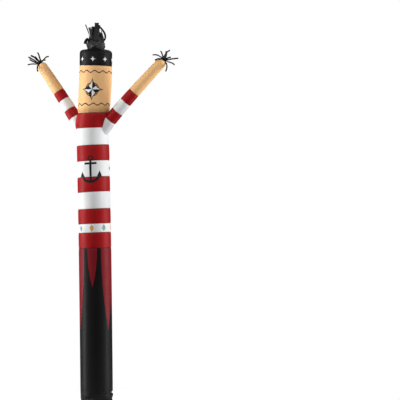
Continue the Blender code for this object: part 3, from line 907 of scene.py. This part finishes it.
def makeHairCollar():
    height, sides = hair["ring"] - hair["base"], hair["sides"]
    around = fullTurn * (hair["radius"] + hair["swell"] / 2)

    def shareAt(j):
        return j / (hair["rows"] - 1)

    def place(i, j):
        angle, share = bodyAngle(i, sides), shareAt(j)
        tilt = hair["tilt"] * roundNoise(angle, 0.0, *hair["tiltNoise"]) * math.sin(math.pi * share)
        tuck = 0.0 if j else hair["sewnDown"]  # sewn down through the crown
        return onAxis(angle, hairRadius(angle, share), hair["base"] + share * height + tilt - tuck)

    made = clothGrid(
        "hair_collar", "hairBlack", sides, hair["rows"], place,
        lambda i, j: ((i / sides - 0.5) * around, hair["base"] + shareAt(j) * height), lambda i, j: hair["seamGap"])
    print("hair collar made")


def stripPath(root, middle, tip, share):
    point = root * (1 - share) * (1 - 2 * share) + middle * 4 * share * (1 - share) + tip * share * (2 * share - 1)
    along = root * (4 * share - 3) + middle * (4 - 8 * share) + tip * (4 * share - 1)
    return point, along.normalized()


def ribbonFrames(root, middle, tip, width, sections, twist=0.0):  # centre, width and depth along a path
    frames = []
    for number in range(sections + 1):
        share = number / sections
        centre, along = stripPath(root, middle, tip, share)
        width = (width - width.dot(along) * along).normalized()
        if number:
            width.rotate(Quaternion(along, math.radians(twist) / sections))
        frames.append((share, centre, width, width.cross(along)))
    return frames


def hairPoint(right, toward, up):
    return onAxis(0.0, 0.0, hair["ring"]) + viewersRight * right + towardViewer * toward + Vector((0.0, 0.0, up))


def hairStrip(bm, number, degrees, middle, tip, twist, half, inset):
    radius, level = hair["radius"], hair["level"]
    turned = body["turn"] - math.radians(degrees)
    root = onAxis(turned, radius - inset, hair["ring"] + hair["ringHeight"] - 4 * inset)
    tangent = onAxis(turned + 0.01, radius, level) - onAxis(turned - 0.01, radius, level)
    tip = hairPoint(*tip)
    middle = hairPoint(*middle) if middle else root.lerp(tip, 0.5) + Vector((0, 0, hair["innerArch"]))
    frames = ribbonFrames(root, middle, tip, tangent.normalized(), hair["sections"], twist)

    def place(i, j):
        share, centre, width, depth = frames[j]
        opened, u = min(2 * share, 1.0), 2 * i / (hair["across"] - 1) - 1
        ragged = 1 + hair["ragged"] * noise.noise(Vector((share * 9.0, number * 3.1, 4.0))) * opened
        seed = Vector((number * 5.3 + u * 1.1, share * 5.0, number * 1.7))
        crumple = hair["ripple"] * noise.noise(seed) * opened
        crumple += hair["fineRipple"] * noise.noise(seed * 3.1) * opened
        cup = hair["cup"] * (u * u - 0.4) * opened * (1 if number % 2 else -1)
        wide = half * (1 + (hair["widen"] - 1) * opened)
        return centre + width * (u * wide * ragged) + depth * (crumple + cup)

    first, (across, along) = number * hair["printApart"], hair["printStep"]
    grid = vertGrid(bm, hair["across"], len(frames), place)
    skin(bm, grid, lambda a, b: (first + a * across, level + b * along), closed=False)


def makeHairStrips():
    bm, sides = newCloth(), hair["ringSides"]

    def ringPlace(i, j):
        angle, lift = fullTurn * i / sides, hair["ringLifts"][j]
        wobble = hair["wobble"] * roundNoise(angle, lift, *hair["wobbleNoise"]) - hair["wobble"]
        return onAxis(angle, hair["radius"] + wobble, hair["ring"] + lift)

    ring = vertGrid(bm, sides, len(hair["ringLifts"]), ringPlace)
    skin(bm, ring, lambda a, b: (a / sides * hair["ringGirth"], hair["ring"] + hair["ringStep"] * b))
    half = hair["radius"] * math.sin(math.radians(hair["stripDegrees"]) / 2)
    for number, (degrees, middle, tip, twist) in enumerate(hairStrips):
        hairStrip(bm, number, degrees, middle, tip, twist, half, hair["inset"])
    for number, (degrees, tip, width) in enumerate(innerStrips, len(hairStrips)):
        twist = hair["innerTwist"] * (-1) ** number
        hairStrip(bm, number, degrees, None, tip, twist, width / 2, hair["innerInset"])
    awayFromSeams(bm)
    made = clothObject(bm, "hair_strips", "tasselBlack", hair["stripCloth"], offset=0.0)
    settle(made, "tasselBlack", "hair_fringe")
    print("hair strips made:", len(hairStrips))


# Tassels: rolled strips of black cloth that stand out of each hand

tasselCut = {
    "radius": 0.0300, "inside": 0.012, "rootUp": 0.010, "rootOut": 0.0225, "stripDegrees": 24, "sections": 30,
    "around": 18, "widen": 1.90, "thick": 0.0030, "thicken": 6.0, "archAlong": 0.15, "archOut": 0.09,
    "curl": 0.004, "fold": 0.42, "foldTurns": 5.0, "rough": 0.16, "printStep": (0.004, 0.006),
    "shortEnds": 14, "shortLength": 0.046, "shortSections": 10, "shortRoot": 0.55, "shortArch": (0.008, 0.006),
    "shortTurn": 2.4, "sideTurn": 0.3, "shortLean": (0.35, 0.6), "shortVary": (0.75, 0.5),
    "bunch": (  # height and share of the radius
        (-0.012, 0.97), (-0.004, 0.98), (0.001, 1.02), (0.005, 1.08), (0.009, 1.06), (0.014, 0.94),
        (0.018, 0.74), (0.022, 0.50), (0.024, 0.22),
    ),
    "bunchSides": 56, "bunchFree": (0.002, 0.010), "pleats": 9, "pleat": 0.20, "lump": 0.22,
}
tassels = {  # place, then tip as (along the sleeve, across, toward the viewer)
    "right": (
        (0, (0.061, 0.156, 0.010)), (40, (-0.086, 0.132, 0.060)), (80, (0.104, 0.047, 0.100)),
        (120, (-0.075, -0.080, 0.085)), (160, (0.170, -0.030, 0.020)), (200, (0.070, -0.120, -0.004)),
        (240, (-0.048, -0.164, -0.050)), (280, (0.118, -0.069, -0.080)), (320, (0.167, 0.125, -0.030)),
    ),
    "left": (
        (0, (0.022, 0.155, 0.012)), (40, (0.156, 0.056, 0.030)), (80, (0.118, -0.008, 0.095)),
        (120, (-0.076, -0.088, 0.086)), (160, (0.135, -0.095, 0.040)), (200, (0.094, -0.158, -0.014)),
        (240, (0.190, -0.088, -0.050)), (280, (0.196, -0.052, -0.090)), (320, (0.020, 0.084, -0.086)),
    ),
}


def makeTassel(side):
    cut, sign = tasselCut, sleeves[side]["sign"]
    along, across, toward = sleeveFrame(side, 1.0)
    hole = sleeveCentre(side, 1.0)
    half = cut["radius"] * math.sin(math.radians(cut["stripDegrees"]) / 2)
    bm = newCloth()

    def outwardAt(angle):
        return across * math.cos(angle) + toward * math.sin(angle)

    def solid(columns, rows, place):
        rings = vertGrid(bm, columns, rows, place)
        skin(bm, rings, lambda a, b: (a * cut["printStep"][0], b * cut["printStep"][1]))
        bm.faces.new(list(reversed(rings[0])))
        bm.faces.new(rings[-1])

    def bunchPlace(i, j):  # the tied bunch that the strands come out of
        (lift, share), angle = cut["bunch"][j], fullTurn * i / cut["bunchSides"]
        pleat = 0.5 + 0.5 * math.cos(cut["pleats"] * angle + 40 * lift)
        lump = roundNoise(angle, lift, 1.6, 60, 0)
        free = clamp01((lift + cut["bunchFree"][0]) / cut["bunchFree"][1])
        out = share * (1 - free * (cut["pleat"] * pleat + cut["lump"] * lump))
        return hole + along * lift + outwardAt(angle) * (cut["radius"] * out)

    def rod(number, root, middle, tip, spread, sections):
        tangent = (outwardAt(spread + 0.1) - outwardAt(spread - 0.1)).normalized()
        frames = ribbonFrames(root, middle, tip, tangent, sections)

        def place(i, j):
            share, centre, width, depth = frames[j]
            opened, turn = min(4 * share, 1.0), fullTurn * i / cut["around"]
            sway = cut["curl"] * opened * noise.noise(Vector((number * 4.1, share * 2.0, 8.0 * sign)))
            spot = Vector((math.cos(turn) + number * 3, math.sin(turn), share * 9.0))
            folded = 0.5 + 0.5 * math.cos(3 * turn + cut["foldTurns"] * share + number)  # the strip is rolled up
            uneven = 1 + cut["rough"] * opened * noise.noise(spot)
            uneven *= 1.1 - cut["fold"] * opened * folded ** 2
            wide = math.cos(turn) * half * (1 + (cut["widen"] - 1) * opened) * uneven
            deep = math.sin(turn) * cut["thick"] / 2 * (1 + (cut["thicken"] - 1) * opened) * uneven
            return centre + width * wide + depth * (deep + sway)

        solid(cut["around"], len(frames), place)

    solid(cut["bunchSides"], len(cut["bunch"]), bunchPlace)
    for number, (degrees, (forward, sideways, near)) in enumerate(tassels[side]):
        spread = math.radians(degrees)
        outward = outwardAt(spread)
        root = hole + along * cut["rootUp"] + outward * cut["rootOut"]
        tip = hole + along * forward + across * sideways + toward * near
        arch = along * cut["archAlong"] + outward * cut["archOut"]
        rod(number, root, (root + tip) / 2 + arch * (tip - root).length, tip, spread, cut["sections"])
    (leanLeast, leanMore), (least, more), (up, out) = cut["shortLean"], cut["shortVary"], cut["shortArch"]
    for number in range(cut["shortEnds"]):  # short curled ends that fill the bunch
        spread = cut["shortTurn"] * number + cut["sideTurn"] * sign
        outward = outwardAt(spread)
        lean = leanLeast + leanMore * ((number * 0.618) % 1.0)
        root = hole + along * cut["inside"] + outward * (cut["radius"] * cut["shortRoot"])
        way = (along * (1.25 - lean) + outward * lean).normalized()
        tip = root + way * cut["shortLength"] * (least + more * ((number * 0.382) % 1.0))
        middle = root.lerp(tip, 0.5) + along * up + outward * out
        rod(number + 20, root, middle, tip, spread, cut["shortSections"])
    awayFromSeams(bm)
    bmesh.ops.recalc_face_normals(bm, faces=bm.faces)
    made = meshObject(bm, f"tassel_{side}_strands")
    made.data.materials.append(clothMaterials["tasselBlack"])
    settle(made, "tasselBlack", f"tassel_{side}")


makeHairStrips()
for handSide in sleeves:
    makeTassel(handSide)
print("tassels made")
makeBodyBands()
makeCrown()
makeSleeves()
makeHairCollar()


# Stitches: one row beside each seam and down the back, by Geometry Nodes

stitching = {
    "pitch": 0.0075, "length": 0.0045, "thickness": 0.0011, "sides": 5, "above": 0.0045, "proud": 0.0002,
    "ringSides": 240, "sleeveSides": 96, "besideBackSeam": 0.006, "hem": 0.022,
    "backEnds": (0.01, 0.004), "backRows": (0.01, 0.02),
}
threadFinish = {"fibres": 900.0, "twist": 0.0002, "shaded": 0.6, "rough": 0.55}


def threadMaterial(name, shade):
    material, sockets, place = newMaterial(name)
    mottled = noiseOf(place, threadFinish["fibres"])
    twist = addNode(place.tree, "ShaderNodeBump", {"Distance": threadFinish["twist"], "Height": mottled})
    tone = mixColour(mottled, (*shade, 1), (*(c * threadFinish["shaded"] for c in shade), 1))
    feed(sockets, {"Base Color": tone, "Roughness": threadFinish["rough"], "Normal": twist})
    return material


def stitchTree():
    inputs = {"Geometry": "Geometry", "Pitch": 0.0075, "Length": 0.0045, "Thickness": 0.0011, "Thread": "Material"}
    tree, given, out = newGroup("stitchRows", inputs, {"Geometry": "Geometry"}, "GeometryNodeTree")
    curve = addNode(tree, "GeometryNodeMeshToCurve", {"Mesh": given["Geometry"]}, "Curve")
    points, turns = addNode(
        tree, "GeometryNodeCurveToPoints", {"Curve": curve, "Length": given["Pitch"]}, ("Points", "Rotation"),
        mode="LENGTH")
    thread = {"Vertices": stitching["sides"], "Radius": given["Thickness"] * 0.5, "Depth": given["Length"]}
    stitch = addNode(tree, "GeometryNodeMeshCylinder", thread, "Mesh")
    spread = {"Points": points, "Rotation": turns, "Instance": stitch}
    rows = addNode(tree, "GeometryNodeInstanceOnPoints", spread, "Instances")
    solid = addNode(tree, "GeometryNodeRealizeInstances", {"Geometry": rows}, "Geometry")
    painted = {"Geometry": solid, "Material": given["Thread"]}
    feed(out, {"Geometry": addNode(tree, "GeometryNodeSetMaterial", painted, "Geometry")})
    return tree, {item.name: item.identifier for item in tree.interface.items_tree if item.in_out == "INPUT"}


def stitchLines():  # for each thread, its lines as points and whether they close
    lines = {dye: [] for dye in dyes}
    rise, proud, sides = stitching["above"], stitching["proud"], stitching["ringSides"]

    def ringAt(height):
        return [bodyPoint(bodyAngle(i, sides), height, proud) for i in range(sides)], True

    for (_, seam, _), (_, _, cloth) in zip(bands[:-1], bands[1:]):
        lines[dyeOf(cloth)].append(ringAt(seam + rise))
    floor, (lower, upper) = 0.0, stitching["backEnds"]
    for _, top, cloth in bands[:-1]:
        heights = rowsBetween(floor + lower, top - upper, *stitching["backRows"])
        for way in (-1, 1):
            angle = body["printFront"] - math.pi + way * stitching["besideBackSeam"] / body["radius"]
            lines[dyeOf(cloth)].append(([bodyPoint(angle, h, proud) for h in heights], False))
        floor = top
    lines["black"].append(ringAt(stitching["hem"]))
    sides = stitching["sleeveSides"]
    angles = [fullTurn * i / sides for i in range(sides)]
    for side, cut in sleeves.items():
        for cloth, seam in zip(sleeveCloths[1:], cut["seams"]):
            share = seam + rise / sleeveLength(side)
            free = [a for a in angles if leavesBody(side, a) < share]
            ring = [sleevePoint(side, a, share, proud) for a in free]
            lines[dyeOf(cloth)].append((ring, len(free) == sides))
    return lines


def makeStitches():
    tree, sockets = stitchTree()
    for dye, rows in stitchLines().items():
        bm = bmesh.new()
        for points, closes in rows:
            verts = [bm.verts.new(p) for p in points]
            for a, b in zip(verts, verts[1:] + verts[:1] if closes else verts[1:]):
                bm.edges.new((a, b))
        source = meshObject(bm, "stitchLines")
        modifier = source.modifiers.new("stitches", "NODES")
        modifier.node_group = tree
        for label in ("Pitch", "Length", "Thickness"):
            modifier[sockets[label]] = stitching[label.lower()]
        modifier[sockets["Thread"]] = threadMaterial(f"{dye}Thread", dyes[dye][2])
        bpy.context.view_layer.update()
        shown = source.evaluated_get(bpy.context.evaluated_depsgraph_get())
        made = newObject(f"stitches_{dye}", bpy.data.meshes.new_from_object(shown))
        made.data.shade_smooth()
        bpy.data.objects.remove(source)
        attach(made, "root")
    print("stitches made")


makeStitches()


# Floor, camera and lights

studio = {
    "floorRadius": 3.2, "floorSolid": 0.9, "floorFade": 3.1, "floorDrop": 0.0005, "floorGlow": 0.35,
    "pixels": 400, "pixel": 0.01406, "centrePixel": 96.6, "aimHeight": 2.9245, "distance": 30.0,
    "lights": (  # name, aim height, turn from the view, elevation, distance, size across and up, watts
        ("leftStrip", 2.75, -88, 4, 4.6, 1.5, 7.5, 320),
        ("rightStrip", 2.75, 88, 4, 4.6, 1.5, 7.5, 260),
        ("frontFill", 2.75, -6, 32, 9.0, 5.0, 5.0, 230),
        ("backFill", 2.75, 176, 38, 8.0, 4.0, 4.0, 240),
        ("leftHigh", 3.9, -62, 26, 5.0, 2.5, 2.5, 55),
        ("rightHigh", 3.6, 58, 38, 6.0, 2.5, 2.5, 98),
    ),
    "world": 0.13,
}


def makeFloor():
    bpy.ops.mesh.primitive_circle_add(
        vertices=96, radius=studio["floorRadius"], fill_type="TRIFAN", location=(0, 0, -studio["floorDrop"]))
    floor = bpy.context.object
    floor.name = "paleFloor"
    material, sockets, place = newMaterial("paleFloor")
    away = addNode(place.tree, "ShaderNodeVectorMath", {0: place}, "Value", operation="LENGTH")
    seen = addNode(place.tree, "ShaderNodeLightPath", {}, "Is Camera Ray")
    feed(sockets, {
        "Base Color": (0.86, 0.86, 0.86, 1), "Roughness": 0.7, "Emission Color": (1, 1, 1, 1),
        "Alpha": 1.0 - smoothStep(away, studio["floorSolid"], studio["floorFade"]),
        "Emission Strength": seen * studio["floorGlow"]})  # the glow is for the camera, and lights nothing
    material.cycles.emission_sampling = "NONE"
    floor.data.materials.append(material)


def makeCamera():
    camera = newObject("photoCamera", bpy.data.cameras.new("photoCamera"))
    beside = (studio["pixels"] / 2 - studio["centrePixel"]) * studio["pixel"]
    aim = body["foot"] + viewersRight * beside + Vector((0, 0, studio["aimHeight"]))
    camera.location = aim + towardViewer * studio["distance"]
    camera.rotation_euler = (math.radians(90), 0, body["turn"])
    camera.data.sensor_width = 36.0
    camera.data.lens = 36.0 * studio["distance"] / (studio["pixels"] * studio["pixel"])
    camera.data.clip_end = 200.0
    bpy.context.scene.camera = camera


def makeLights():
    for name, height, turn, lift, distance, wide, tall, watts in studio["lights"]:
        turned, raised = math.radians(turn), math.radians(lift)
        way = towardViewer * math.cos(turned) + viewersRight * math.sin(turned)
        way = way * math.cos(raised) + Vector((0, 0, math.sin(raised)))
        made = newObject(name, bpy.data.lights.new(name, "AREA"))
        made.data.shape = "RECTANGLE"
        made.data.size, made.data.size_y, made.data.energy = wide, tall, watts
        made.location = Vector((0.0, 0.0, height)) + way * distance
        made.rotation_euler = way.to_track_quat("Z", "Y").to_euler()


def makeWorld():  # pure white behind the figure, and only a little of it as light
    world = bpy.data.worlds.new("studioWhite")
    bpy.context.scene.world = world
    world.use_nodes = True
    seen = addNode(world.node_tree, "ShaderNodeLightPath", {}, "Is Camera Ray")
    strength = maths("MULTIPLY_ADD", seen, 1.0 - studio["world"], studio["world"])
    feed(world.node_tree.nodes["Background"].inputs, {"Color": (1, 1, 1, 1), "Strength": strength})
    bpy.context.scene.view_settings.view_transform = "Standard"
    bpy.context.scene.view_settings.look = "None"


makeFloor()
makeCamera()
makeLights()
makeWorld()
print("studio made")
